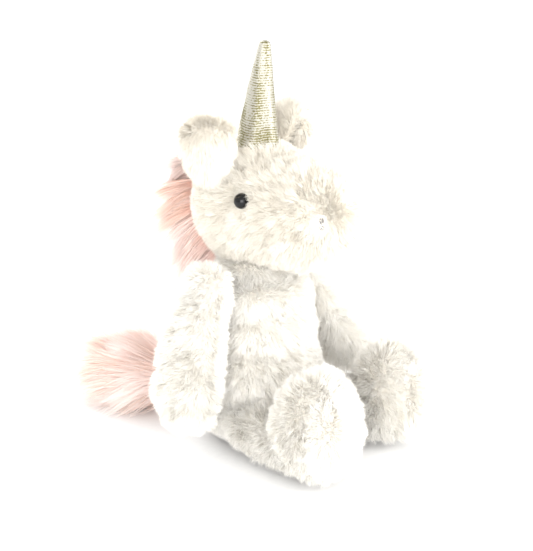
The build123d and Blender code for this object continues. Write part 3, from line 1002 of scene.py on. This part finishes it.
def flowing(name, roots, ways, up, length, seed, locks, gather, fall, wave, width=0.4, knots=6):
    """Long pink hairs from roots along ways, gathered in wavy locks and pulled down by weight."""
    rng = np.random.default_rng(seed)
    count = len(roots)
    ways = unit(ways)
    lock = rng.integers(0, locks, count)
    pick = rng.integers(0, count, locks)
    tree = kdtree.KDTree(locks)
    for i, k in enumerate(pick):
        tree.insert(roots[k], i)
    tree.balance()
    lock = np.fromiter((tree.find(p)[1] for p in roots), dtype=np.int64, count=count)
    lock_way = unit(ways[pick] + 0.28 * rng.normal(size=(locks, 3)))
    lock_long = length * rng.uniform(0.72, 1.08, locks)
    lock_phase = rng.uniform(0, 2 * math.pi, (locks, 2))
    lock_side = unit(np.cross(lock_way, rng.normal(size=(locks, 3))))
    tall = lock_long[lock] * rng.uniform(0.7, 1.0, count)
    stray = 0.13 * rng.normal(size=(count, 3))
    lines = np.empty((count, knots, 3))
    for k in range(knots):
        t = k / (knots - 1)
        own = roots + (ways + stray) * (tall * t)[:, None]
        held = roots[pick][lock] + lock_way[lock] * (tall * t)[:, None]
        together = gather * t**0.8
        point = own * (1 - together) + held * together
        sway = wave * t * np.sin(3.4 * t + lock_phase[lock, 0])
        point = point + lock_side[lock] * sway[:, None]
        point[:, 2] -= fall * t**2 * tall
        lines[:, k] = point
    tint = 0.5 + 0.22 * np.sin(lock_phase[lock, 1]) + 0.13 * rng.normal(size=count)
    tint += 0.12 * waves(roots, 30.0, seed + 2)
    return ribbons(name, lines, up, np.full(count, width), tint, PINK)


def make_mane():
    """Hair from a strip down the back of the head, brushed back and down."""
    rng = np.random.default_rng(61)
    t = rng.random(MANE_HAIRS)
    angle = np.radians(62 - 128 * t)
    across = rng.uniform(-MANE_HALF_WIDE, MANE_HALF_WIDE, MANE_HAIRS)
    ray = np.stack([0 * t, np.cos(angle), np.sin(angle)], axis=1)
    roots = np.array(SKULL) + ray * MANE_ROOT_R
    roots[:, 0] = across
    ways = ray * 0.9 + np.array([0, 0.62, -0.42]) + np.stack([across * 0.035, 0 * t, 0 * t], axis=1)
    hair = flowing(
        "mane_pile_hair", roots, ways, ray, MANE_HAIR_L, 62, locks=120, gather=0.6, fall=0.3, wave=3.5
    )
    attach(hair, "head")
    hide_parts("mane_pile", "mane_backing")


def make_tail():
    """A bushy switch of hair round a sewn stub, lying back along the floor."""
    root = place_of("tail_swing")
    rng = np.random.default_rng(71)
    turn = math.radians(TAIL_TURN)
    back = np.array([-math.sin(turn), math.cos(turn), 0.1])
    along = rng.random(TAIL_HAIRS) ** 1.15 * TAIL_ROOTS_L
    around = rng.uniform(0, 2 * math.pi, TAIL_HAIRS)
    side = np.array([math.cos(turn), math.sin(turn), 0])
    ring = np.cos(around)[:, None] * side + np.sin(around)[:, None] * np.array([0, 0, 1.0])
    thick = 5.5 + 4.5 * np.sin(np.clip(along / 46, 0, 1) * math.pi)
    roots = np.array(root) + back * along[:, None] + ring * thick[:, None]
    ring = ring * [0.7, 1.0, 1.1] + [0.1, 0, 0.4]
    ways = back * 1.0 + ring * (0.5 * (1 - along / 75))[:, None]
    hair = flowing(
        "tail_pile_hair", roots, ways, ring, TAIL_HAIR_L, 72, locks=150, gather=0.45, fall=0.24, wave=4.5
    )
    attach(hair, "tail")
    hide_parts("tail_pile")
    core = weld("tail_stub", string_of(
        [(root, (5.5, 5.5, 5.5)), (root + Vector(back) * TAIL_STUB_L, (8, 8, 8))], 4), voxel=2.0)
    core.data.materials.append(PINK_KNIT)
    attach(core, "tail")
    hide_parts("tail_core")


# ------------------------------------------------------------------ studio
SKY = 1.2
SOFTBOXES = (
    # name, place in metres, size in metres, watts
    ("softbox_left", (-0.5, -1.1, 0.7), 0.9, 1.5),
    ("softbox_low", (-1.0, -0.8, 0.3), 0.9, 13.0),
    ("softbox_right", (0.5, -1.2, 0.3), 0.8, 14.0),
    ("softbox_back", (0.3, 1.1, 0.9), 1.0, 10.0),
)
SOFTBOX_AIM = Vector((0, -0.02, 0.12))


def make_studio():
    """A paper floor, a white surround and four softboxes aimed at the chest."""
    deselect()
    bpy.ops.mesh.primitive_plane_add(size=6.0, location=(0, 0, 0))
    floor = settle(bpy.context.object, "studio_floor")
    floor.data.materials.append(PAPER)
    world = bpy.data.worlds.new("studio")
    bpy.context.scene.world = world
    world.use_nodes = True
    world.node_tree.nodes["Background"].inputs["Color"].default_value = (1, 1, 1, 1)
    world.node_tree.nodes["Background"].inputs["Strength"].default_value = SKY
    for name, at, size, power in SOFTBOXES:
        light = bpy.data.lights.new(name, "AREA")
        light.size = size
        light.energy = power
        obj = bpy.data.objects.new(name, light)
        bpy.context.scene.collection.objects.link(obj)
        obj.location = at
        aim = SOFTBOX_AIM - Vector(at)
        obj.rotation_euler = aim.to_track_quat("-Z", "Y").to_euler()


CAMERA_TURN = -52.6
CAMERA_RISE = 15.2
CAMERA_FAR = 1000.0
CAMERA_LENS = 97.1
CAMERA_AIM = Vector((-27.8, -32.5, 130.0))


def make_camera():
    """The camera, turned and raised round its aim."""
    a, e = math.radians(CAMERA_TURN), math.radians(CAMERA_RISE)
    back = Vector((math.sin(a) * math.cos(e), -math.cos(a) * math.cos(e), math.sin(e)))
    data = bpy.data.cameras.new("camera")
    data.lens = CAMERA_LENS
    camera = bpy.data.objects.new("camera", data)
    bpy.context.scene.collection.objects.link(camera)
    camera.location = (CAMERA_AIM + back * CAMERA_FAR) * MM
    camera.rotation_euler = (-back).to_track_quat("-Z", "Y").to_euler()
    bpy.context.scene.camera = camera
    bpy.context.scene.view_settings.view_transform = "Standard"


make_torso()
make_neck()
make_head()
for side in SIDES:
    make_arm(side)
    make_leg(side)
    finish_ear(side)
make_horn()
make_eyes()
make_nostrils()
make_mane()
make_tail()
make_studio()
make_camera()
